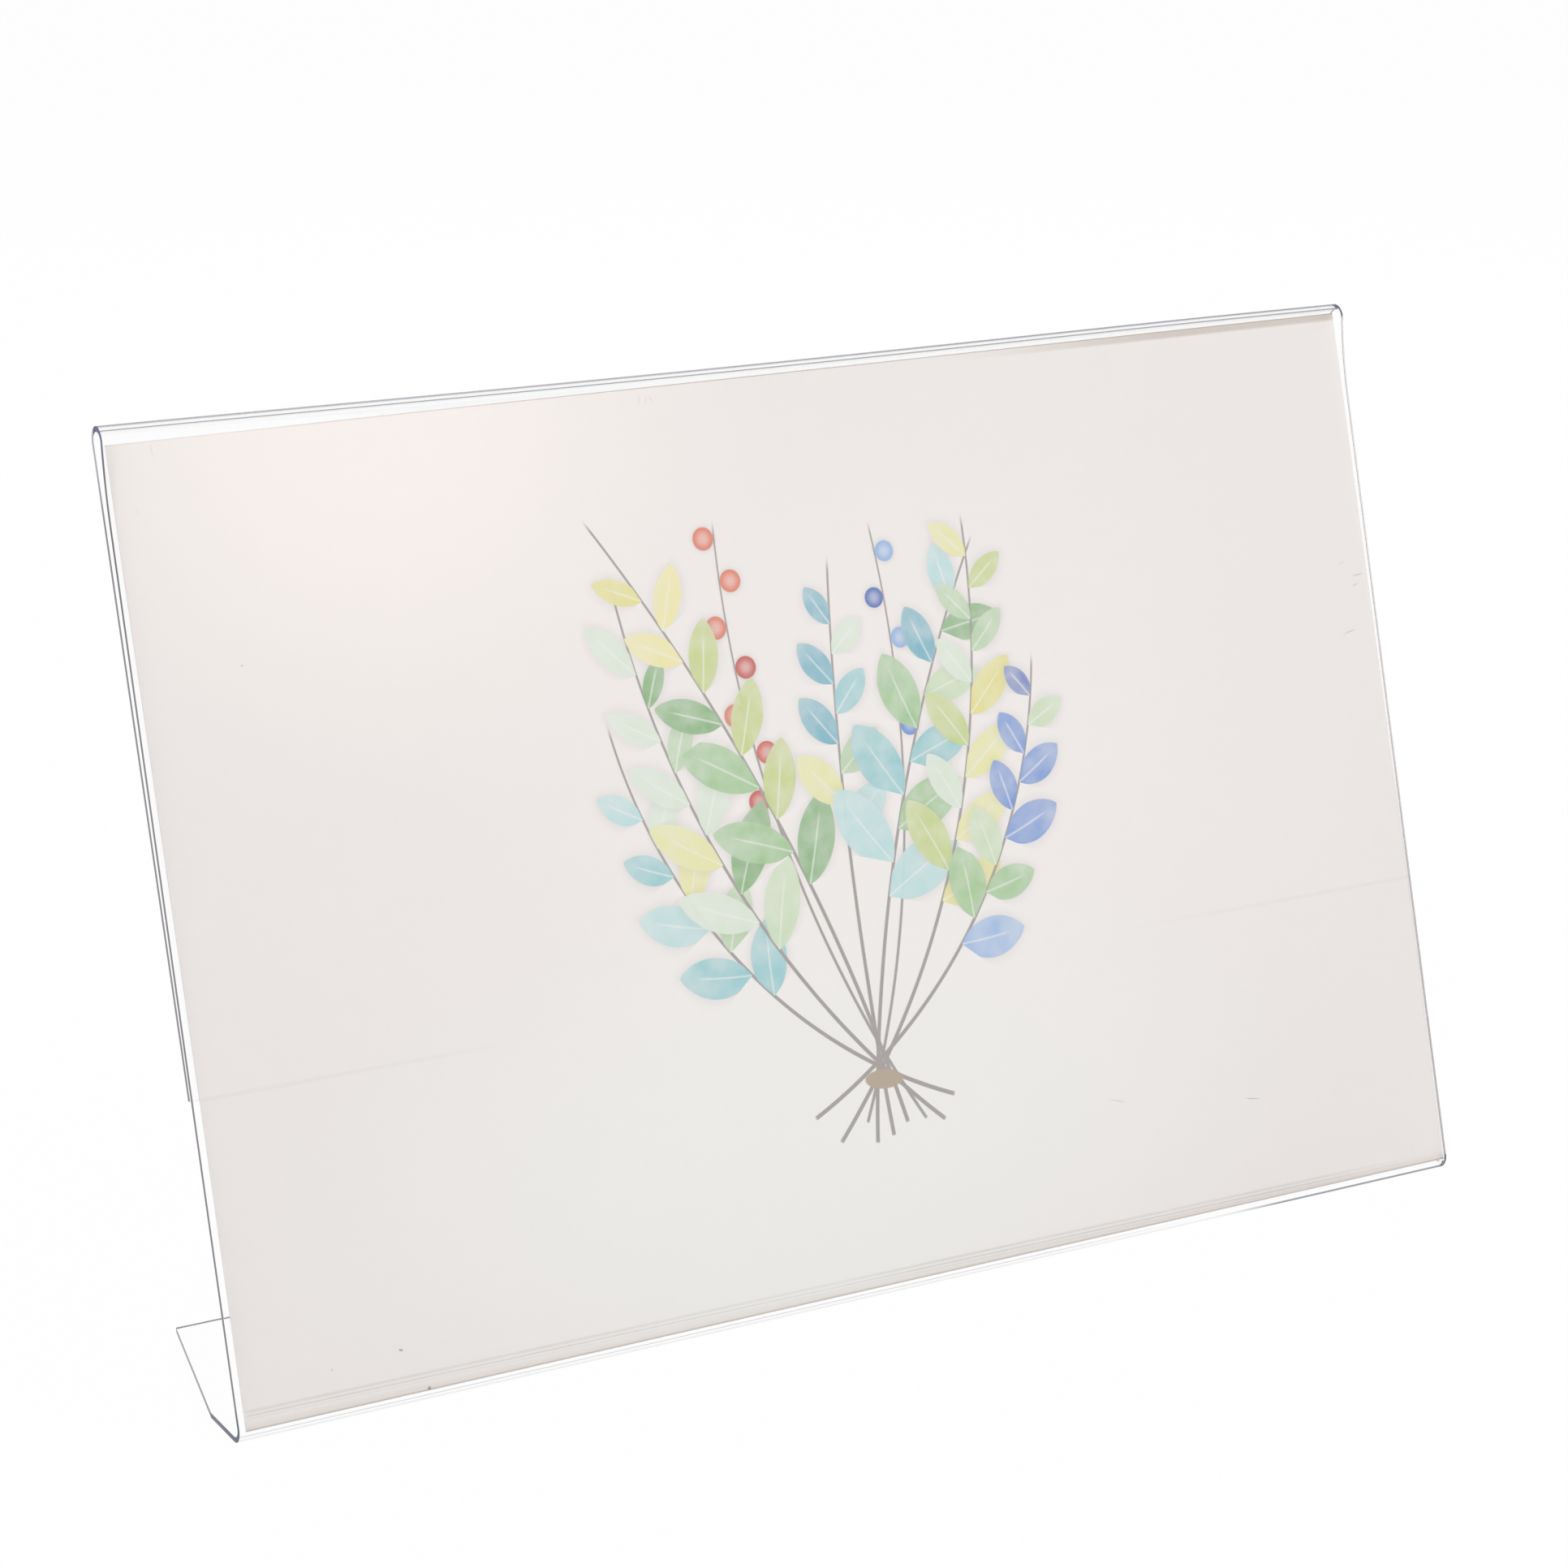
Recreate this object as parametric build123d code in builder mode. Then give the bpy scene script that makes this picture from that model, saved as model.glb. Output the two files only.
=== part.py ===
# Slant-back photo holder: one clear plastic sheet, folded hot into a pocket and a foot, with a photo
# card slipped into the pocket from the side.
# Millimetres. X runs along the width, Y towards the back, Z up. The foot stands on Z = 0.
import os
from math import acos, atan2, cos, degrees, hypot, radians, sin, sqrt, tan

from build123d import *

# Photo card
card_width = 300.0
card_height = 200.0  # at its right edge
card_trim = 2.0  # the top edge was trimmed aslant, and the left edge is this much shorter
card_thickness = 0.25
card_shift = 0.8  # the card was pushed this far to the right of the middle
card_clearance = 0.1  # free room between the card and the sheet
card_stand_off = 0.4  # the lower edge stands this far off the front panel
card_headroom = 1.9  # from the card's highest corner to the top of the holder

# Sheet
sheet_thickness = 1.2
side_margin = 1.0  # the sheet is this much wider than the card at each side
lean = 15.2  # degrees, the front panel's lean from the upright

# Bend between the foot and the front panel
bend_inner_radius = 2.0

# Fold along the top. The front panel flares forward a little before it turns over.
fold_inner_radius = 2.0
flare_radius = 90.0  # of the front face
flare_angle = 11.0  # degrees

# Back panel
back_length = 135.0  # from the top of the holder down to the free edge, along the front panel
pocket_mouth = 0.45  # the gap at the free edge, where the back panel nips the card

# Foot
foot_reach = 60.0  # from the foremost point of the bend to the rear edge
foot_shoulder = 16.0  # the sides run straight this far back, then taper
foot_inset = 9.0  # the taper takes this much off each side at the rear edge

# How far a cut runs past the sheet
overrun = 1.0

# The sheet's outer radii and half width
bend_radius = bend_inner_radius + sheet_thickness
fold_radius = fold_inner_radius + sheet_thickness
half_width = card_width / 2 + side_margin

# The foot, from front to rear, with the middle of its depth at Y = 0
foot_front = -foot_reach / 2
foot_back = foot_front + foot_reach
shoulder_y = foot_front + foot_shoulder
bend_y = foot_front + bend_radius

# Heights up the front face are measured from the sharp corner that the bend rounds off, and depths
# are measured back from the front face.
bend_turn = 90 + lean
bend_height = bend_radius * tan(radians(bend_turn / 2))
corner_y = bend_y - bend_height

# The card stands in the curve of the bend, a clearance above it
card_foot_depth = sheet_thickness + card_stand_off
curve_reach = bend_inner_radius - card_clearance
card_foot_height = bend_height - sqrt(curve_reach**2 - (bend_radius - card_foot_depth) ** 2)

# The top of the holder follows from the card
holder_height = card_foot_height + card_height + card_headroom
fold_height = holder_height - fold_radius
flare_rise = (flare_radius + fold_radius) * sin(radians(flare_angle))
flare_bulge = (flare_radius + fold_radius) * (1 - cos(radians(flare_angle)))
fold_depth = fold_radius - flare_bulge
panel_flat = fold_height - flare_rise - bend_height

# The back panel runs from the fold's inner curve to the pocket's mouth
mouth_height = holder_height - back_length
mouth_depth = sheet_thickness + pocket_mouth
mouth_drop = fold_height - mouth_height
mouth_offset = mouth_depth - fold_depth
mouth_distance = hypot(mouth_drop, mouth_offset)
closing_angle = degrees(atan2(mouth_drop, mouth_offset) - acos(fold_inner_radius / mouth_distance))
back_flat = sqrt(mouth_distance**2 - fold_inner_radius**2)
fold_turn = 180 + flare_angle + closing_angle


def panel_point(depth, height):
    """Give Y and Z of a point at a depth behind the front face and a height up it."""
    y = corner_y + height * sin(radians(lean)) + depth * cos(radians(lean))
    z = height * cos(radians(lean)) - depth * sin(radians(lean))
    return y, z


def sheet_line(depth):
    """Trace the sheet's section from the foot's rear edge to the free edge, at a depth inside its outer face."""
    foot = Line((foot_back, depth), (bend_y, depth))
    bend = JernArc(foot @ 1, foot % 1, bend_radius - depth, -bend_turn)
    panel = Line(bend @ 1, bend @ 1 + (bend % 1) * panel_flat)
    flare = JernArc(panel @ 1, panel % 1, flare_radius + depth, flare_angle)
    fold = JernArc(flare @ 1, flare % 1, fold_radius - depth, -fold_turn)
    back = Line(fold @ 1, fold @ 1 + (fold % 1) * back_flat)
    return foot @ 0, back @ 1


# Folded sheet: the section is drawn once and runs the whole width
with BuildPart() as folded_sheet:
    with BuildSketch(Plane.YZ):
        with BuildLine():
            outer_start, outer_end = sheet_line(0)
            inner_start, inner_end = sheet_line(sheet_thickness)
            Line(outer_start, inner_start)
            Line(outer_end, inner_end)
        make_face()
    extrude(amount=half_width, both=True)

    # The foot's sides taper behind the shoulders
    taper = foot_inset / (foot_back - shoulder_y)
    with BuildSketch(Plane.XY.offset(-overrun)):
        with BuildLine():
            Polyline(
                (half_width, shoulder_y),
                (half_width - foot_inset - taper * overrun, foot_back + overrun),
                (half_width + overrun, foot_back + overrun),
                (half_width + overrun, shoulder_y),
                close=True,
            )
        make_face()
        mirror(about=Plane.YZ)
    extrude(amount=overrun + sheet_thickness + overrun, mode=Mode.SUBTRACT)

folded_sheet.part.label = "folded_sheet"

# Photo card: it stands off the front panel at its foot, is nipped and creased at the pocket's mouth,
# and leans back from there towards the back panel.
card_lean_share = 0.7  # of the angle at which the back panel leaves the front panel
card_lean = closing_angle * card_lean_share
nip_depth = sheet_thickness + (pocket_mouth - card_thickness) / 2
card_top_height = card_foot_height + card_height
card_top_depth = nip_depth + (card_top_height - mouth_height) * tan(radians(card_lean))

with BuildPart() as photo_card:
    with BuildSketch(Plane.YZ):
        with BuildLine():
            Polyline(
                panel_point(card_foot_depth, card_foot_height),
                panel_point(nip_depth, mouth_height),
                panel_point(card_top_depth, card_top_height),
                panel_point(card_top_depth + card_thickness, card_top_height),
                panel_point(nip_depth + card_thickness, mouth_height),
                panel_point(card_foot_depth + card_thickness, card_foot_height),
                close=True,
            )
        make_face()
    extrude(amount=half_width, both=True)

    # The outline is cut square to the front panel
    panel_front = (0, -cos(radians(lean)), sin(radians(lean)))
    card_left = card_shift - card_width / 2
    card_right = card_shift + card_width / 2
    with BuildSketch(Plane(origin=(0, corner_y, 0), x_dir=(1, 0, 0), z_dir=panel_front)):
        with BuildLine():
            Polyline(
                (card_left, card_foot_height - overrun),
                (card_right, card_foot_height - overrun),
                (card_right, card_top_height),
                (card_left, card_top_height - card_trim),
                close=True,
            )
        make_face()
    extrude(amount=fold_radius + fold_radius, both=True, mode=Mode.INTERSECT)

photo_card.part.label = "photo_card"

os.makedirs("parts", exist_ok=True)
for piece in (folded_sheet.part, photo_card.part):
    export_step(piece, f"parts/{piece.label}.step")
    box = piece.bounding_box()
    print(piece.label, "volume", round(piece.volume, 1), "from", box.min, "to", box.max)
print("holder height along the panel", round(holder_height, 2), "closing angle", round(closing_angle, 3))
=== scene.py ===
from math import acos, atan2, cos, hypot, pi, radians, sin, tan

import bmesh
import bpy
from mathutils import Matrix, Vector

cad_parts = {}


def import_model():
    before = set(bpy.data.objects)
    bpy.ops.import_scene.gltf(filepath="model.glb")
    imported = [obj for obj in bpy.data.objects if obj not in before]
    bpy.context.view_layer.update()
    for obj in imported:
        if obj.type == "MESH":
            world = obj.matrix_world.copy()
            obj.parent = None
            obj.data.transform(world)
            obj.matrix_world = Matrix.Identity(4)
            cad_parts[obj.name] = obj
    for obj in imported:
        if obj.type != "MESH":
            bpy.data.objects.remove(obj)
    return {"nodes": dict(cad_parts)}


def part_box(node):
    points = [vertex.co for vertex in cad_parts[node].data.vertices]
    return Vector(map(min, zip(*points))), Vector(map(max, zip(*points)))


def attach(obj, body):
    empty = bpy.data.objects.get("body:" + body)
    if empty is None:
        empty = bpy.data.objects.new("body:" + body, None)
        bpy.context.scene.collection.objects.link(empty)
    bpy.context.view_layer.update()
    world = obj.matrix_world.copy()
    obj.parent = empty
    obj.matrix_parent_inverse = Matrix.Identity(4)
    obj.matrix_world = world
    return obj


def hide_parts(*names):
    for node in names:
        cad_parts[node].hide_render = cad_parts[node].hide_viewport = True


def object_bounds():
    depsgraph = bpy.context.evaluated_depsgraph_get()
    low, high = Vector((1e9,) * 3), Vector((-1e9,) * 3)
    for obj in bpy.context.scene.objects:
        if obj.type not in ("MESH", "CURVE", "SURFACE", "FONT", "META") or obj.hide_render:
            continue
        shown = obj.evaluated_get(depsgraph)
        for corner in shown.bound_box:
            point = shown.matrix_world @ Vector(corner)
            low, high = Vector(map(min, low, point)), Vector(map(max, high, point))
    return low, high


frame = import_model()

cad_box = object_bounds()
mm = 0.001

# The sheet's sizes, as the solid has them
sheet_low, sheet_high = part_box("folded_sheet")
half_width = sheet_high.x - 0.01 * mm  # a hair inside the solid's box
foot_back = sheet_high.y
foot_front = sheet_low.y
thickness = 1.2 * mm
lean = radians(15.2)
bend_radius = 3.2 * mm
fold_radius = 3.2 * mm
flare_radius = 90 * mm
flare_angle = radians(11)
holder_height = 205.05 * mm  # up the front face, a hair below the solid's
back_length = 135 * mm
pocket_mouth = 0.45 * mm  # the gap at the back panel's free edge
foot_shoulder = 16 * mm
foot_inset = 9 * mm
edge_round = 0.1 * mm

# Places along the section. Heights run up the front face from the sharp corner that the bend rounds
# off, and depths run back from the front face.
bend_y = foot_front + bend_radius
bend_turn = pi / 2 + lean
bend_height = bend_radius * tan(bend_turn / 2)
corner_y = bend_y - bend_height
fold_height = holder_height - fold_radius
fold_depth = fold_radius - (flare_radius + fold_radius) * (1 - cos(flare_angle))
flare_start = fold_height - (flare_radius + fold_radius) * sin(flare_angle)
mouth_height = holder_height - back_length
mouth_depth = thickness + pocket_mouth
inner_radius = fold_radius - thickness
mouth_distance = hypot(fold_height - mouth_height, mouth_depth - fold_depth)
closing_angle = atan2(fold_height - mouth_height, mouth_depth - fold_depth) - acos(inner_radius / mouth_distance)


def panel_point(depth, height):
    """The point in the middle of the width, at a depth behind the front face and a height up it."""
    along, back = Vector((0, sin(lean), cos(lean))), Vector((0, cos(lean), -sin(lean)))
    return Vector((0, corner_y, 0)) + along * height + back * depth


# Modelling
def nothing_selected():
    """Leave object mode with nothing selected."""
    if bpy.context.object and bpy.context.object.mode != "OBJECT":
        bpy.ops.object.mode_set(mode="OBJECT")
    bpy.ops.object.select_all(action="DESELECT")


def select_edges(piece, wanted):
    """Select the edges whose two ends pass the test, and nothing else."""
    mesh = bmesh.from_edit_mesh(piece.data)
    bpy.ops.mesh.select_all(action="DESELECT")
    for edge in mesh.edges:
        if all(wanted(corner.co) for corner in edge.verts):
            edge.select_set(True)
    mesh.select_flush_mode()
    bmesh.update_edit_mesh(piece.data)


def apply_modifier(piece, kind, **settings):
    """Add a modifier with these settings and apply it."""
    modifier = piece.modifiers.new(kind.lower(), kind)
    for name, value in settings.items():
        setattr(modifier, name, value)
    bpy.ops.object.modifier_apply(modifier=modifier.name)


def bow_the_fold(piece):
    """Let the fold sag a little left of the middle, as a long hot bend does."""
    sag = 0.6 * mm
    sag_end = 0.76 * half_width
    fade = 45 * mm
    up = Vector((0, sin(lean), cos(lean)))
    corner = Vector((0, corner_y, 0))
    for point in piece.data.vertices:
        if point.co.z < thickness:
            continue
        height = (point.co - corner).dot(up)
        share = min(max((height - holder_height + fade) / (fade - 2 * fold_radius), 0), 1)
        along = (point.co.x + half_width) / (sag_end + half_width)
        if share > 0 and 0 < along < 1:
            point.co -= up * sag * share * share * (3 - 2 * share) * sin(pi * along) ** 1.3


def folded_sheet():
    """Bend one flat strip through the foot, the panel and the fold, then give it its thickness."""
    nothing_selected()
    shoulder = foot_front + foot_shoulder
    bpy.ops.mesh.primitive_grid_add(x_subdivisions=32, y_subdivisions=1, size=1,
                                    location=(0, (shoulder + foot_back) / 2, 0))
    piece = bpy.context.object
    piece.name = "clear_folded_sheet"
    piece.scale = (2 * half_width, foot_back - shoulder, 1)
    bpy.ops.object.transform_apply(location=True, rotation=True, scale=True)
    bpy.ops.object.mode_set(mode="EDIT")
    bpy.ops.mesh.select_mode(type="EDGE")
    near = 0.01 * mm

    # The foot's sides taper towards its rear edge
    select_edges(piece, lambda at: at.y > foot_back - near)
    bpy.ops.transform.resize(value=((half_width - foot_inset) / half_width, 1, 1))

    # Foot, bend, panel, flare, fold and back panel
    select_edges(piece, lambda at: at.y < shoulder + near)
    bpy.ops.mesh.extrude_region_move(TRANSFORM_OT_translate={"value": (0, bend_y - shoulder, 0)})
    bpy.ops.mesh.spin(steps=40, angle=bend_turn, center=(0, bend_y, bend_radius), axis=(1, 0, 0))
    for low, high in zip((bend_height, flare_start * 0.5), (flare_start * 0.5, flare_start)):
        step = panel_point(0, high) - panel_point(0, low)
        bpy.ops.mesh.extrude_region_move(TRANSFORM_OT_translate={"value": step})
    flare_centre = panel_point(-flare_radius, flare_start)
    bpy.ops.mesh.spin(steps=20, angle=-flare_angle, center=flare_centre, axis=(1, 0, 0))
    fold_turn = pi + flare_angle + closing_angle
    bpy.ops.mesh.spin(steps=64, angle=fold_turn, center=panel_point(fold_depth, fold_height), axis=(1, 0, 0))
    back_flat = (mouth_distance**2 - inner_radius**2) ** 0.5
    down = panel_point(0, 0) - panel_point(0, back_flat)
    down = Matrix.Rotation(-closing_angle, 3, "X") @ down
    bpy.ops.mesh.extrude_region_move(TRANSFORM_OT_translate={"value": down})
    bpy.ops.mesh.select_all(action="SELECT")
    bpy.ops.mesh.remove_doubles(threshold=near)
    bpy.ops.object.mode_set(mode="OBJECT")
    bow_the_fold(piece)

    # The strip is the sheet's outer face, so the thickness grows inwards from it
    foot = min(piece.data.polygons, key=lambda face: face.center.z - face.center.y)
    inwards = -1 if foot.normal.z < 0 else 1
    apply_modifier(piece, "SOLIDIFY", thickness=thickness, offset=inwards, use_even_offset=True)
    apply_modifier(piece, "BEVEL", width=edge_round, segments=2, limit_method="ANGLE", angle_limit=radians(40))
    bpy.ops.object.shade_smooth_by_angle(angle=radians(30))
    apply_modifier(piece, "WEIGHTED_NORMAL", weight=100, keep_sharp=True)
    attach(piece, "holder")
    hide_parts("folded_sheet")
    return piece


sheet = folded_sheet()

# Places that the plastic's painted shade refers to
crest_lean = radians(12)  # the fold's crest, painted in shade, faces this far back from straight up
underside_lean = radians(24)  # the bend's underside, painted in shade, faces this far forward from straight down
refraction_line_height = 6.1 * mm  # of the upper painted refraction line, at the middle of the width
refraction_line_slant = 0.0067  # metres that it comes down for each metre to the right
bend_line_height = 2.35 * mm


# Materials
class Value:
    """A number in a node tree, with arithmetic that adds Math nodes."""

    def __init__(self, nodes, socket):
        self.nodes, self.socket = nodes, socket

    def __add__(self, other):
        return self.nodes.math("ADD", self, other)

    def __sub__(self, other):
        return self.nodes.math("SUBTRACT", self, other)

    def __mul__(self, other):
        return self.nodes.math("MULTIPLY", self, other)

    def __truediv__(self, other):
        return self.nodes.math("DIVIDE", self, other)

    def __rsub__(self, other):
        return self.nodes.math("SUBTRACT", other, self)

    __radd__ = __add__
    __rmul__ = __mul__

    def size(self):
        """The value without its sign."""
        return self.nodes.math("ABSOLUTE", self)


class Nodes:
    """The node tree of one material, or of the world."""

    def __init__(self, owner):
        owner.use_nodes = True
        self.tree = owner.node_tree
        self.tree.nodes.clear()

    def add(self, kind, settings, sockets, output=0):
        """Add a node, set it up, feed its sockets, and give the named output."""
        node = self.tree.nodes.new("ShaderNode" + kind)
        for name, value in settings.items():
            if name == "stops":
                self.set_stops(node.color_ramp, value)
            else:
                setattr(node, name, value)
        for name, value in sockets.items():
            if isinstance(value, Value):
                self.tree.links.new(value.socket, node.inputs[name])
            else:
                node.inputs[name].default_value = value
        if not len(node.outputs):
            return node
        if isinstance(output, tuple):
            return tuple(Value(self, node.outputs[name]) for name in output)
        return Value(self, node.outputs[output])

    @staticmethod
    def set_stops(ramp, stops):
        """Give a colour ramp these stops, each with its own flat colour."""
        ramp.interpolation = "CONSTANT"
        while len(ramp.elements) < len(stops):
            ramp.elements.new(1.0)
        for element, (position, colour) in zip(ramp.elements, stops):
            element.position, element.color = position, colour

    def math(self, operation, *values):
        """One Math node, fed with these values."""
        return self.add("Math", {"operation": operation}, dict(enumerate(values)))

    def scaled(self, value, factor, offset):
        """value times factor, plus offset."""
        return self.math("MULTIPLY_ADD", value, factor, offset)

    def ramp(self, value, low, high, out_low=0.0, out_high=1.0):
        """Run smoothly from one value to another while the input runs from low to high."""
        return self.add("MapRange", {"interpolation_type": "SMOOTHSTEP"},
                        {"Value": value, "From Min": low, "From Max": high, "To Min": out_low, "To Max": out_high})

    def line(self, off, edge, core):
        """1 within the core of a line and 0 beyond its edge, by the distance off its middle."""
        return self.ramp(off.size(), edge, core)

    def mix(self, factor, first, second):
        """Mix two colours."""
        return self.add("Mix", {"data_type": "RGBA"}, {"Factor": factor, 6: first, 7: second}, 2)

    def section(self):
        """Along the width, height up the front face and depth behind it, then the plain Y and Z."""
        place = self.add("TexCoord", {}, {}, "Object")
        x, y, z = self.add("SeparateXYZ", {}, {0: place}, ("X", "Y", "Z"))
        behind = y - corner_y
        height = self.scaled(behind, sin(lean), z * cos(lean))
        depth = self.scaled(behind, cos(lean), z * -sin(lean))
        return x, height, depth, y, z


def shade(red, green, blue):
    """A colour as it is on screen, from 0 to 255, given in the linear numbers that sockets take."""
    parts = [level / 255 for level in (red, green, blue)]
    return (*(part / 12.92 if part <= 0.04045 else ((part + 0.055) / 1.055) ** 2.4 for part in parts), 1)


# What the plastic lets through of red, green and blue
clear = (0.99, 0.99, 0.995, 1)
# Painted shade of the plastic, standing in for its refraction: at the fold's crest, in lines by the bend, at the
# right end's rim and under the bend
crest_shade_left, crest_shade_right = (0.19, 0.17, 0.24, 1), (0.05, 0.045, 0.08, 1)
refraction_line_shade, bend_line_shade = (0.55, 0.54, 0.54, 1), (0.4, 0.39, 0.4, 1)
rim_shade, underside_shadow = (0.3, 0.29, 0.31, 1), (0.02, 0.025, 0.04, 1)
straight_through = (0.97, 0.97, 0.98, 1)
plastic_ior = 1.49


def clear_plastic():
    """Clear polished plastic that bends light. Lamps and scattered light pass straight through it to the card.
    Painted shade darkens its fold's crest, its right end's rim and its bend's underside, and painted refraction lines
    run beside the bend."""
    material = bpy.data.materials.new("clear_plastic")
    nodes = Nodes(material)
    x, height, depth, y = nodes.section()[:4]
    on_front = nodes.ramp(depth, 1.7 * mm, 1.4 * mm)

    # Painted shade on the fold's crest, which is seen along its wall, darker towards the right
    facing = nodes.add("TexCoord", {}, {}, "Normal")
    facing_y, facing_z = nodes.add("SeparateXYZ", {}, {0: facing}, ("Y", "Z"))
    upwards = nodes.scaled(facing_y, sin(crest_lean), facing_z * cos(crest_lean))
    at_fold = nodes.ramp(height, fold_height - 2 * mm, fold_height)
    crest = nodes.mix(nodes.ramp(x, -0.1, 0.14), crest_shade_left, crest_shade_right)
    tone = nodes.mix(nodes.ramp(upwards, 0.8, 0.92) * at_fold, clear, crest)

    # Painted refraction lines along the bend, a little higher at the left end, each by its distance under the upper
    # one, its half-width, its core's half-width and its strength
    streaks = nodes.add("TexNoise", {"noise_dimensions": "1D"}, {"W": x, "Scale": 14.0, "Detail": 3.0})
    above_line = nodes.scaled(x, refraction_line_slant, height - refraction_line_height)
    lines = 0.0
    for under, edge, core, strength in ((0.0, 0.42, 0.1, 0.55), (0.85, 0.22, 0.06, 0.8), (1.5, 0.2, 0.05, 0.3)):
        lines = nodes.line(above_line + under * mm, edge * mm, core * mm) * strength + lines
    lines = lines * streaks * nodes.ramp(x, 0.145, 0.1) * nodes.ramp(x, -0.15, -0.148) * on_front
    tone = nodes.mix(lines, tone, refraction_line_shade)
    # A lower painted refraction line by the bend, fading out towards the right end
    bend_line = nodes.line(height - bend_line_height, 0.18 * mm, 0.07 * mm) * nodes.ramp(x, 0.09, 0.04)
    tone = nodes.mix(bend_line * on_front * 0.8, tone, bend_line_shade)

    # Painted shade on the right end's rim, darker towards the foot
    rim = nodes.ramp(x, half_width - 0.45 * mm, half_width - 0.15 * mm) * on_front
    tone = nodes.mix(rim * nodes.ramp(height, 0.17, 0.03, 0.1, 0.75), tone, rim_shade)

    # Painted shade on the bend's underside shows as a line, with a darker painted shadow where the right end stands a
    # hair off the table
    downwards = nodes.scaled(facing_y, -sin(underside_lean), facing_z * -cos(underside_lean))
    underside = nodes.ramp(downwards, 0.77, 0.89) * nodes.ramp(y, bend_y + 1 * mm, bend_y)
    tone = nodes.mix(underside * nodes.ramp(x, 0.085, 0.105, 0.25, 1.0), tone, underside_shadow)

    body = nodes.add("BsdfPrincipled", {}, {"Base Color": tone, "Roughness": 0.0, "IOR": plastic_ior,
                                            "Transmission Weight": 1.0})
    through = nodes.add("BsdfTransparent", {}, {"Color": straight_through})
    shadow, scattered = nodes.add("LightPath", {}, {}, ("Is Shadow Ray", "Is Diffuse Ray"))
    surface = nodes.add("MixShader", {}, {0: scattered, 1: body, 2: through})
    surface = nodes.add("MixShader", {}, {0: shadow, 1: surface, 2: through})
    nodes.add("OutputMaterial", {}, {"Surface": surface})
    return material


# Painted shade and light of the cut edges, as they are on screen, standing in for the light that runs inside the
# sheet
fold_front, fold_behind, under_fold = shade(80, 80, 122), shade(60, 50, 96), shade(80, 71, 80)
front_upper, front_lower, front_rims = shade(81, 75, 78), shade(114, 109, 110), shade(148, 146, 149)
back_upper, back_lower = shade(177, 177, 185), shade(130, 126, 135)
bend_outside, bend_inside, foot_edge = shade(95, 83, 113), shade(56, 70, 95), shade(104, 101, 105)
grain_tone = shade(215, 215, 222)


def cut_edge():
    """The sheet's polished cut edges, with painted shade and light that stand in for the light that runs inside it:
    indigo at the fold and the bend.
    """
    material = bpy.data.materials.new("cut_edge")
    nodes = Nodes(material)
    height, depth, y, z = nodes.section()[1:]

    # Front panel, with the fold above it
    tone = nodes.mix(nodes.ramp(depth, 0.2 * mm, 1.6 * mm), fold_front, fold_behind)
    tone = nodes.mix(nodes.ramp(height, holder_height - 5 * mm, holder_height - 9 * mm), tone, under_fold)
    front_core = nodes.mix(nodes.ramp(height, holder_height - 18 * mm, holder_height - 60 * mm),
                           front_upper, front_lower)
    off_core = nodes.ramp((depth - thickness / 2).size(), 0.2 * mm, 0.6 * mm)
    front_core = nodes.mix(off_core * 0.6, front_core, front_rims)
    tone = nodes.mix(nodes.ramp(height, holder_height - 9 * mm, holder_height - 14 * mm), tone, front_core)

    # Back panel
    back_tone = nodes.mix(nodes.ramp(height, holder_height - 6 * mm, holder_height - 20 * mm), back_upper, back_lower)
    tone = nodes.mix(nodes.ramp(depth, 2.6 * mm, 3.2 * mm), tone, back_tone)
    below_fold = nodes.ramp(height, fold_height - 15 * mm, fold_height - 25 * mm)
    tone = nodes.mix(nodes.ramp(depth, 1.3 * mm, 1.5 * mm) * below_fold, tone, back_tone)

    # Bend and foot
    bend_end = foot_front + foot_shoulder
    bend_tone = nodes.mix(nodes.ramp(z, 0.5 * mm, 1.1 * mm), bend_outside, bend_inside)
    foot_tone = nodes.mix(nodes.ramp(y, bend_end, bend_end + 2 * mm), bend_tone, foot_edge)
    tone = nodes.mix(nodes.ramp(height, 9 * mm, 5 * mm), tone, foot_tone)

    grain = nodes.add("TexNoise", {}, {"Scale": 900.0, "Detail": 2.0})
    tone = nodes.mix(grain * 0.16, tone, grain_tone)
    body = nodes.add("BsdfPrincipled", {}, {"Base Color": tone, "Roughness": 0.25, "IOR": plastic_ior,
                                            "Specular IOR Level": 0.1})
    nodes.add("OutputMaterial", {}, {"Surface": body})
    return material


# The print: a loose spray of painted leaves. Places on the card are in millimetres, along the width
# from its middle and up the front face from the bend's sharp corner.
leaf_greens = shade(146, 192, 128), shade(108, 168, 92), shade(196, 218, 176)
leaf_pale = shade(214, 228, 206), shade(176, 206, 160), shade(228, 226, 150)
leaf_yellow = shade(224, 216, 112), shade(190, 205, 110), shade(236, 226, 150)
leaf_aqua = shade(84, 168, 188), shade(132, 196, 200), shade(176, 216, 214)
leaf_blue = shade(84, 134, 206), shade(140, 176, 220), shade(60, 100, 180)
berry_red = shade(208, 84, 62), shade(222, 116, 84), shade(196, 66, 52)
stem_grey, stem_tie = shade(158, 151, 146), shade(176, 158, 134)
thin_wash, vein_tone, berry_shine = (0.84, 0.83, 0.78, 1), (0.86, 0.85, 0.8, 1), (0.9, 0.88, 0.84, 1)
tail = 11  # the stems' cut ends run on this far below their roots
# Each stem's root, aim and radius, bare length and length with berries, spacing and size, colours and seed
berry_stems = [
    ((9, 47), -27, 250, 64, 64, 9.5, 2.6, berry_red, 3),
    ((4, 49), 22, -240, 62, 58, 9.5, 2.4, leaf_blue, 11),
]
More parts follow.
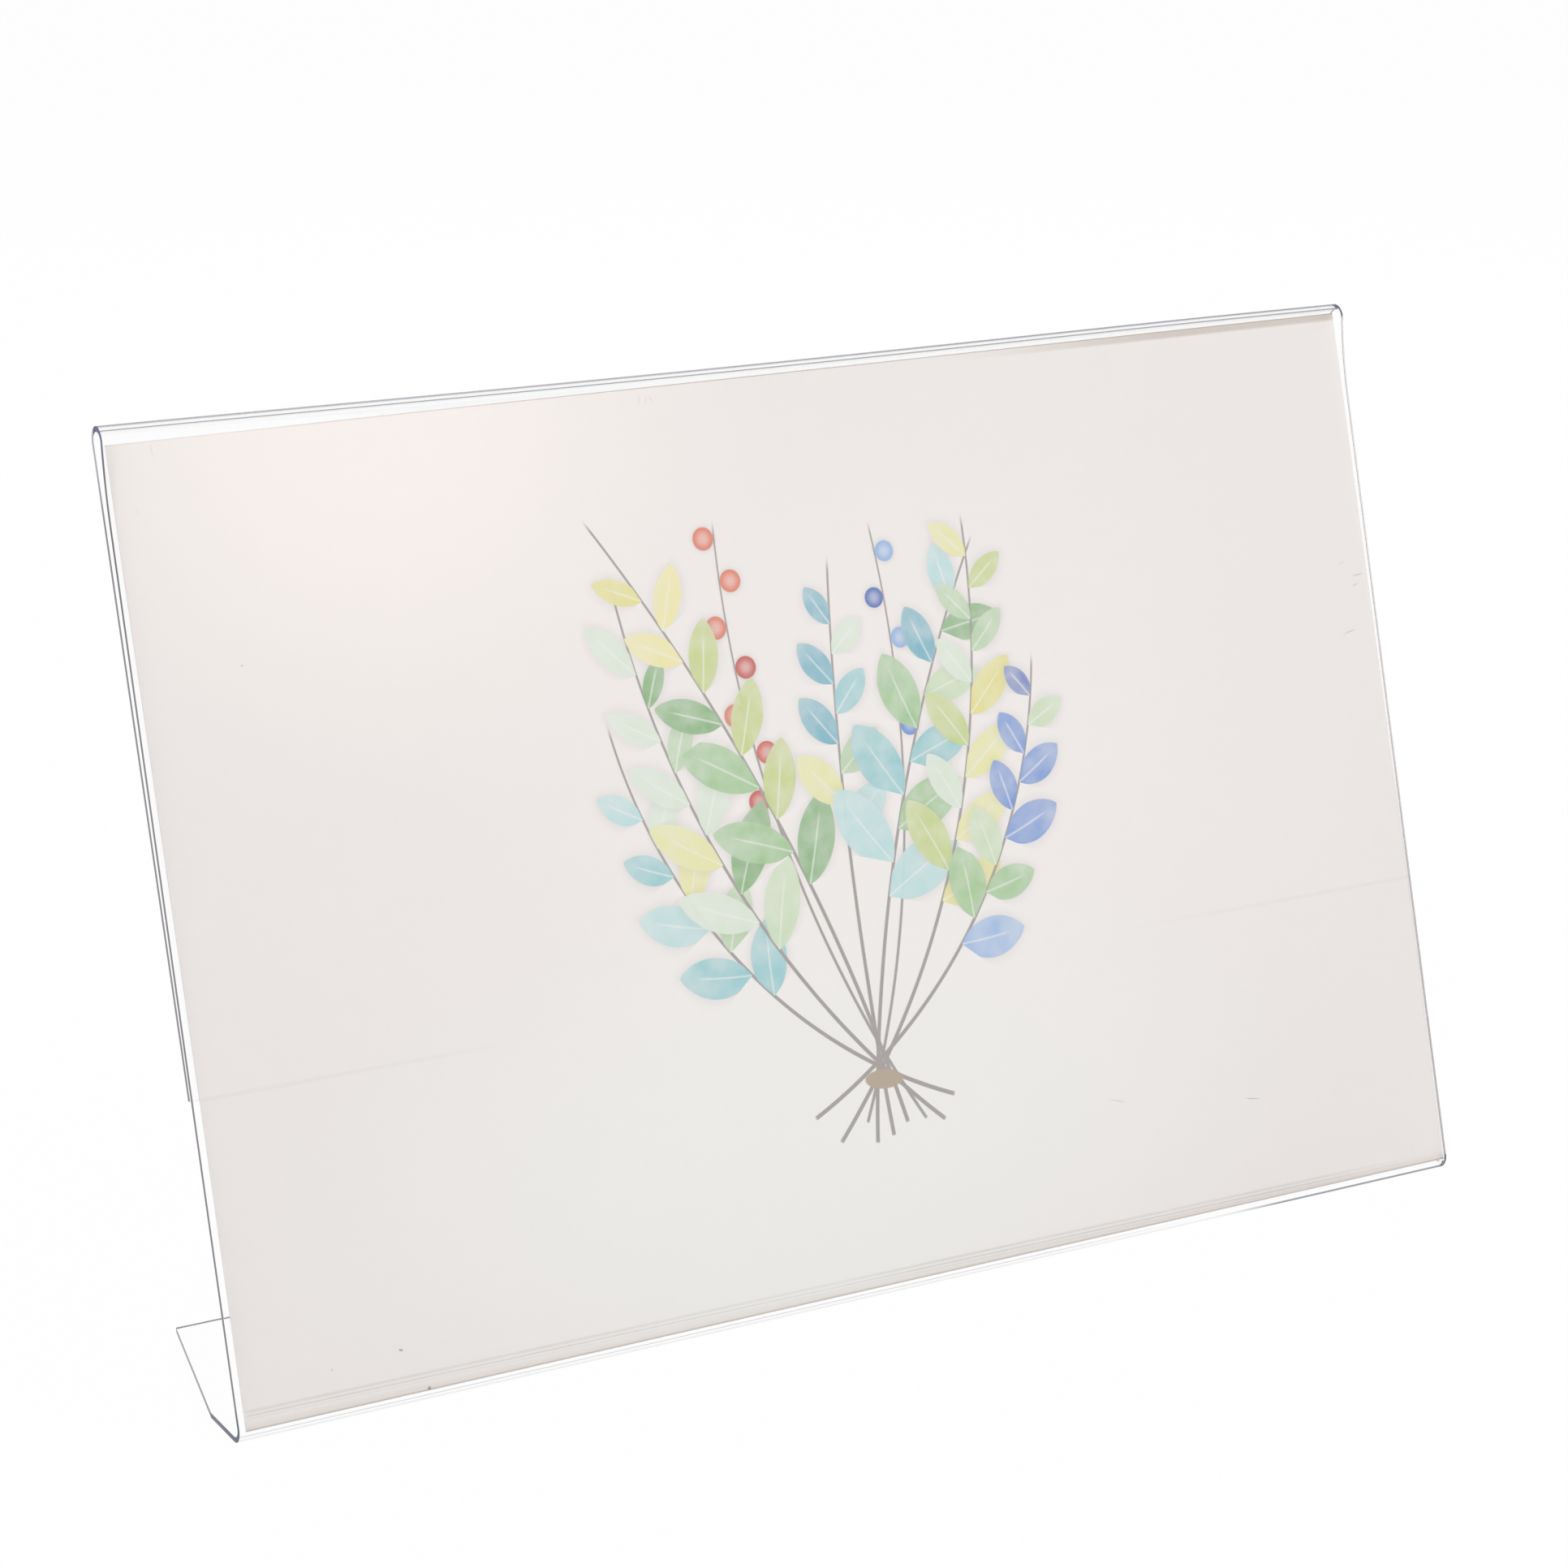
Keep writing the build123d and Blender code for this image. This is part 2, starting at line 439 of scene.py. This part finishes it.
# Each stem's root, aim and radius, bare length and length with leaves, spacing, leaf length and width, splay,
# colours and seed
leafy_stems = [
    ((12, 46), -62, 118, 46, 62, 14, 18, 9.5, 44, leaf_aqua + leaf_pale, 21),
    ((11, 44), -44, 200, 52, 80, 15, 21, 9.0, 40, leaf_greens + leaf_pale, 5),
    ((7, 48), -14, -420, 54, 84, 16, 22, 10.0, 42, leaf_yellow + leaf_greens, 8),
    ((5, 46), -3, 700, 62, 52, 13, 16, 8.5, 42, leaf_pale + leaf_aqua, 29),
    ((3, 45), 9, 330, 50, 74, 15, 21, 11.0, 46, leaf_greens + leaf_aqua, 2),
    ((0, 44), 40, -185, 54, 78, 14, 19, 9.0, 42, leaf_pale + leaf_yellow, 17),
    ((-3, 47), 60, -122, 48, 60, 13, 17, 9.5, 44, leaf_greens + leaf_blue, 33),
]


class Print:
    """Paints on the card: each stroke is laid over what is there already."""

    def __init__(self, nodes, along, up):
        self.nodes = nodes
        self.place = nodes.add("CombineXYZ", {}, {0: along, 1: up})
        self.wash = nodes.add("TexNoise", {}, {"Vector": self.place, "Scale": 0.22, "Detail": 3.0})
        self.colour = None  # what is there already, from the bare paper on

    def lay(self, mask, colour):
        """Paint a colour over what is there, as far as the mask covers it."""
        self.colour = self.nodes.mix(mask, self.colour, colour)

    def oval(self, place, aim, length, width, core):
        """1 at the middle of an oval, 0 outside, and smooth from its core, a share of its size, to its rim."""
        local = self.nodes.add("Mapping", {"vector_type": "TEXTURE"},
                               {"Vector": self.place, "Location": (*place, 0), "Rotation": (0, 0, radians(aim)),
                                "Scale": (length / 2, width / 2, 1)})
        return self.nodes.ramp(self.nodes.add("VectorMath", {"operation": "LENGTH"}, {0: local}, "Value"), 1.0, core)

    def along_arc(self, root, aim, radius):
        """Distance along an arc that starts at root towards aim, degrees clockwise from upright, and distance to
        its right. It curves to the right for a radius above 0."""
        nodes = self.nodes
        heading = radians(aim)
        centre = (root[0] + radius * cos(heading), root[1] - radius * sin(heading))
        # Turned so that X points from the centre to the root
        turn = atan2(root[1] - centre[1], root[0] - centre[0])
        local = nodes.add("Mapping", {"vector_type": "TEXTURE"},
                          {"Vector": self.place, "Location": (*centre, 0), "Rotation": (0, 0, turn)})
        a, b = nodes.add("SeparateXYZ", {}, {0: local}, ("X", "Y"))
        distance = nodes.math("SQRT", nodes.math("MULTIPLY_ADD", a, a, b * b))
        travelled = nodes.math("ARCTAN2", b, a) * -radius
        aside = (radius - distance) if radius > 0 else (distance + radius)
        return travelled, aside

    def stem(self, travelled, aside, start, end, thickness):
        """A thin stem between two distances along an arc."""
        nodes = self.nodes
        inside = nodes.ramp(travelled, start - 0.3, start + 0.3) * nodes.ramp(travelled, end + 2, end - 2)
        width = nodes.ramp(travelled, start, end, thickness / 2, thickness / 4)
        self.lay(nodes.ramp(aside.size() - width, 0.14, -0.1) * inside, stem_grey)

    def drawn_colour(self, pick, colours):
        """One of the colours, by a random number."""
        stops = [(place / len(colours), colour) for place, colour in enumerate(colours)]
        return self.nodes.add("ValToRGB", {"stops": stops}, {0: pick})

    def spray(self, root, aim, radius, bare, length, pitch, leaf, width, splay, colours, seed):
        """A stem with leaves on both sides, smaller towards the tip, each in a colour drawn from the list."""
        nodes = self.nodes
        travelled, aside = self.along_arc(root, aim, radius)
        self.stem(travelled, aside, -tail, bare + length, 0.9)
        right = nodes.math("GREATER_THAN", aside, 0.0)
        row = nodes.scaled(travelled, 1 / pitch, nodes.scaled(right, 0.5, -bare / pitch))
        number = nodes.math("FLOOR", row)
        inside = nodes.math("GREATER_THAN", number, -0.5) * nodes.math("LESS_THAN", number, length / pitch - 0.5)
        chance = nodes.add("TexWhiteNoise", {"noise_dimensions": "1D"},
                           {"W": nodes.scaled(right, 0.37, number + seed)}, "Color")
        pick, growth, swing = nodes.add("SeparateXYZ", {}, {0: chance}, ("X", "Y", "Z"))
        size = nodes.scaled(number, -0.45 * pitch / length, 0.86) + growth * 0.24
        step = (row - number) * pitch
        reach = aside.size()
        tilt = nodes.scaled(swing, radians(16), radians(splay - 8))
        lengthwise, crosswise = nodes.math("COSINE", tilt), nodes.math("SINE", tilt)
        outward = (step * lengthwise + reach * crosswise) / (size * leaf)
        across = reach * lengthwise - step * crosswise
        bulge = nodes.math("MAXIMUM", outward * (1 - outward) * 4, 0.0)
        margin = nodes.math("POWER", bulge, 0.75) * (size * (width / 2)) - across.size()
        inside = inside * nodes.ramp(outward, 1.12, 1.0) * nodes.ramp(outward, -0.1, 0.02)
        colour = self.drawn_colour(pick, colours)
        washed = nodes.scaled(self.wash, 0.8, -0.26) + outward * 0.2
        colour = nodes.mix(washed, colour, thin_wash)
        vein = nodes.line(across, 0.34, 0.1) * nodes.ramp(outward, 0.85, 0.6)
        colour = nodes.mix(vein * 0.5, colour, vein_tone)
        self.lay(nodes.ramp(margin, -2.2, 0.6) * inside * 0.16, stem_grey)
        self.lay(nodes.ramp(margin, 0.0, 0.25) * inside * 0.94, colour)

    def berries(self, root, aim, radius, bare, length, pitch, size, colours, seed):
        """A thin stem with round berries, one after the other at alternate sides."""
        nodes = self.nodes
        travelled, aside = self.along_arc(root, aim, radius)
        self.stem(travelled, aside, -tail, bare + length, 0.7)
        row = nodes.scaled(travelled, 1 / pitch, -bare / pitch)
        number = nodes.math("FLOOR", row)
        inside = nodes.math("GREATER_THAN", number, -0.5) * nodes.math("LESS_THAN", number, length / pitch - 0.5)
        side = nodes.scaled(nodes.math("PINGPONG", number, 1.0), 2.0, -1.0)
        step = nodes.scaled(row - number, pitch, -pitch / 2)
        off = nodes.scaled(side, -size, aside)
        far = nodes.math("SQRT", nodes.math("MULTIPLY_ADD", step, step, off * off))
        pick = nodes.add("TexWhiteNoise", {"noise_dimensions": "1D"}, {"W": number + seed}, "Value")
        colour = self.drawn_colour(pick, colours)
        colour = nodes.mix(nodes.ramp(far, size * 0.9, size * 0.1) * 0.4, colour, berry_shine)
        self.lay(nodes.ramp(far, size + 1.2, size - 0.6) * inside * 0.25, stem_grey)
        self.lay(nodes.ramp(far, size, size - 0.25) * inside * 0.94, colour)


# Marks on the paper: place, aim in degrees, length, width and how strong they are
marks = [
    ((-139.8, 199.3), 95, 4.2, 0.35, 0.15), ((-144.6, 187.5), 88, 2.2, 0.3, 0.12),
    ((-31.2, 199.6), 88, 3.0, 0.3, 0.2), ((-29.6, 199.2), 76, 2.2, 0.3, 0.2), ((-28.4, 199.4), 104, 2.6, 0.3, 0.2),
    ((143.8, 145.0), 12, 3.2, 0.3, 0.25), ((148.0, 141.8), 6, 4.4, 0.5, 0.3), ((147.0, 139.6), 14, 2.8, 0.35, 0.3),
    ((143.6, 128.9), 12, 4.6, 0.35, 0.4), ((63.5, 32.3), -18, 5.8, 0.3, 0.3), ((99.7, 26.4), -11, 5.6, 0.4, 0.4),
    ((-114.3, 12.4), -20, 1.4, 0.6, 0.7), ((-129.5, 11.5), 35, 1.0, 0.4, 0.35), ((-127.5, 154.5), 0, 0.8, 0.5, 0.4),
    ((-109.3, 3.5), 0, 1.0, 1.0, 1.0),
]

# Painted light on the paper: it is lighter in the middle, less warm in its lower half, and lightest towards the top
# left:
# place, length, width, core, strength and colour
painted_light_patches = [
    ((10, 100), 320, 280, 0.0, 1.0, (0.862, 0.82, 0.773, 1)),
    ((-15, 35), 280, 130, 0.2, 0.8, (0.85, 0.845, 0.8, 1)),
    ((-92, 200), 200, 180, 0.1, 1.0, (0.925, 0.86, 0.81, 1)),
]
paper_shades, fibre_tone = ((0.81, 0.77, 0.725, 1), (0.825, 0.782, 0.736, 1)), (0.6, 0.58, 0.55, 1)
# Painted shade: brown for the paper's cut edges, beige for bands below its top edge and above the foot. The grey is
# of real marks and also paints the shade line where the back panel nips the card
paper_cut_shade, painted_shade_beige, mark_and_shade_grey = shade(150, 128, 110), shade(196, 184, 170), shade(92, 88, 84)
card_right, card_top = 150.8, 203.16  # the card's upper right corner
card_slant = 2.0 / 300  # its trimmed top edge falls this much for each millimetre to the left


def card_paper():
    """Satin photo paper with a painted spray of leaves, plain on its back, with painted light over it, and painted
    shade in bands below its top and above the foot and in brown at its cut edges.
    """
    material = bpy.data.materials.new("card_paper")
    nodes = Nodes(material)
    x, height = nodes.section()[:2]
    along, up = x * 1000, height * 1000
    art = Print(nodes, along, up)
    fine = nodes.add("TexNoise", {}, {"Vector": art.place, "Scale": 1.1, "Detail": 4.0})
    cloud = nodes.add("TexNoise", {}, {"Vector": art.place, "Scale": 0.018, "Detail": 2.0})
    art.colour = nodes.mix(cloud, *paper_shades)
    art.lay(fine * 0.05, fibre_tone)
    # Painted light over the bare paper
    for place, length, width, core, strength, colour in painted_light_patches:
        art.lay(art.oval(place, 0, length, width, core) * strength, colour)

    # The print, on the front alone
    bare_paper = art.colour
    for stem in berry_stems:
        art.berries(*stem)
    for stem in leafy_stems:
        art.spray(*stem)
    art.lay(art.oval((5, 47.5), -6, 10, 4.5, 0.86), stem_tie)
    facing = nodes.add("TexCoord", {}, {}, "Normal")
    facing_y, facing_z = nodes.add("SeparateXYZ", {}, {0: facing}, ("Y", "Z"))
    art.lay(nodes.ramp(facing_y, -0.5, 0.0), bare_paper)

    # Marks, and last a painted shade line where the back panel's free edge nips the card
    for place, aim, length, width, strength in marks:
        art.lay(art.oval(place, aim, length, width, 0.3) * strength, mark_and_shade_grey)
    nip = nodes.line(height - mouth_height, 0.7 * mm, 0.15 * mm) * nodes.ramp(x.size(), 0.06, 0.12)
    art.lay(nip * 0.05, mark_and_shade_grey)

    # Painted shade: a beige band below the trimmed top edge, which slants, a fainter one above the foot, and brown at
    # the cuts
    below_top = nodes.scaled(along, card_slant, card_top - card_slant * card_right) - up
    art.lay(nodes.ramp(below_top, 2.0, 1.3) * nodes.ramp(along, 40, 110) * 0.8, painted_shade_beige)
    art.lay(nodes.ramp(below_top, 0.36, 0.12) * nodes.ramp(along, -140, 0, 0.15, 0.6), paper_cut_shade)
    art.lay(nodes.ramp(up, 5.4, 3.3) * 0.3, painted_shade_beige)
    art.lay(nodes.ramp(up, 3.6, 3.25) * 0.5, paper_cut_shade)
    art.lay(nodes.ramp(facing_z.size(), 0.6, 0.8), paper_cut_shade)

    body = nodes.add("BsdfPrincipled", {}, {"Base Color": art.colour, "Roughness": 0.4})
    nodes.add("OutputMaterial", {}, {"Surface": body})
    return material


def is_cut_edge(face):
    """True at the sheet's two ends, the foot's rear edge and the back panel's free edge, but not at the front
    panel's right end, which shows clear."""
    across, back, up = face.normal
    behind = face.center.y - corner_y
    height = behind * sin(lean) + face.center.z * cos(lean)
    depth = behind * cos(lean) - face.center.z * sin(lean)
    clear_end = across > 0.5 and depth < thickness and bend_height < height < fold_height
    foot_rear = face.center.z < thickness and back > 0.5 and face.center.y > foot_back - thickness
    free_edge = up < -0.7 and 30 * mm < face.center.z < 100 * mm
    return not clear_end and (abs(across) > 0.5 or foot_rear or free_edge)


sheet.data.materials.clear()
for material in (clear_plastic(), cut_edge()):
    sheet.data.materials.append(material)
for face in sheet.data.polygons:
    if is_cut_edge(face):
        face.material_index = 1
card = frame["nodes"]["photo_card"]
card.data.materials.clear()
card.data.materials.append(card_paper())


# Set: a white floor, a white backdrop by the world, and soft lamps
white = (1, 1, 1, 1)
floor_grey = (0.9, 0.9, 0.9, 1)
floor_width = 12
floor_glow = 0.97  # the share of plain white in the floor's look, and the rest of it takes shadows
room_light = 0.62  # the strength of the light that comes from all round
overhead_dark = 0.62  # how much of the white the studio lacks overhead, in mirrors and through the plastic
lamp_width = 1.0
# Name, place and watts
lamps = [
    ("key_lamp", (-1.1, -1.3, 1.5), 16),
    ("fill_lamp", (1.2, -0.9, 0.9), 6),
    ("back_lamp", (0.7, 1.4, 1.3), 6),
]


def seen_as_backdrop(nodes):
    """1 for rays that see the set directly, in a mirror or through the plastic, and 0 for those that light things."""
    camera, glossy, through, scattered = nodes.add("LightPath", {}, {}, ("Is Camera Ray", "Is Glossy Ray",
                                                   "Is Transmission Ray", "Diffuse Depth"))
    lighting = nodes.math("MINIMUM", scattered, 1.0)
    return nodes.math("MINIMUM", camera + glossy + through, 1.0) * (1 - lighting)


def world():
    """White all round, but dark overhead in mirrors and through the plastic, and a plain level of light."""
    studio = bpy.data.worlds.new("studio")
    bpy.context.scene.world = studio
    nodes = Nodes(studio)
    direction = nodes.add("TexCoord", {}, {}, "Generated")
    back, up = nodes.add("SeparateXYZ", {}, {0: direction}, ("Y", "Z"))
    dark = nodes.ramp(up - back, -0.12, 0.08) * nodes.ramp(back, -0.05, 0.15)
    camera_ray = nodes.add("LightPath", {}, {}, "Is Camera Ray")
    level = 1 - dark * (1 - camera_ray) * overhead_dark
    backdrop = nodes.add("Background", {}, {"Color": white, "Strength": level})
    light = nodes.add("Background", {}, {"Color": white, "Strength": room_light})
    mixed = nodes.add("MixShader", {}, {0: seen_as_backdrop(nodes), 1: light, 2: backdrop})
    nodes.add("OutputWorld", {}, {"Surface": mixed})


def floor():
    """A white floor that melts into the backdrop and keeps a trace of the shadow."""
    nothing_selected()
    bpy.ops.mesh.primitive_plane_add(size=floor_width, location=(0, 0, 0))
    ground = bpy.context.object
    ground.name = "floor"
    material = bpy.data.materials.new("white_floor")
    nodes = Nodes(material)
    matt = nodes.add("BsdfDiffuse", {}, {"Color": floor_grey})
    glow = nodes.add("Emission", {}, {"Color": white, "Strength": 1.0})
    mixed = nodes.add("MixShader", {}, {0: seen_as_backdrop(nodes) * floor_glow, 1: matt, 2: glow})
    nodes.add("OutputMaterial", {}, {"Surface": mixed})
    ground.data.materials.append(material)


def lamp(name, place, power):
    """A soft square lamp that faces the part and doesn't show in mirrors or through the plastic."""
    light = bpy.data.lights.new(name, "AREA")
    light.shape = "SQUARE"
    light.size = lamp_width
    light.energy = power
    stand = bpy.data.objects.new(name, light)
    bpy.context.scene.collection.objects.link(stand)
    stand.location = place
    middle = (cad_box[0] + cad_box[1]) / 2
    stand.rotation_euler = (middle - Vector(place)).to_track_quat("-Z", "Y").to_euler()
    stand.visible_glossy = False
    stand.visible_transmission = False


world()
floor()
for settings in lamps:
    lamp(*settings)

# Camera: solved from the outline of the holder in the photograph
picture_side = 1932
focal_pixels = 4805.1
camera_place = Vector((-400.08, -705.80, 336.93)) * mm
camera_azimuth = radians(-28.952)
camera_elevation = radians(15.717)
camera_roll = radians(0.386)


def camera():
    """The photograph's own view."""
    data = bpy.data.cameras.new("camera")
    data.sensor_width = 36
    data.lens = focal_pixels / picture_side * data.sensor_width
    eye = bpy.data.objects.new("camera", data)
    bpy.context.scene.collection.objects.link(eye)
    turn = Matrix.Rotation(camera_azimuth, 3, "Z") @ Matrix.Rotation(pi / 2 - camera_elevation, 3, "X")
    turn = turn @ Matrix.Rotation(-camera_roll, 3, "Z")
    eye.location = camera_place
    eye.rotation_euler = turn.to_euler()
    bpy.context.scene.camera = eye


camera()
bpy.context.scene.view_settings.view_transform = "Standard"
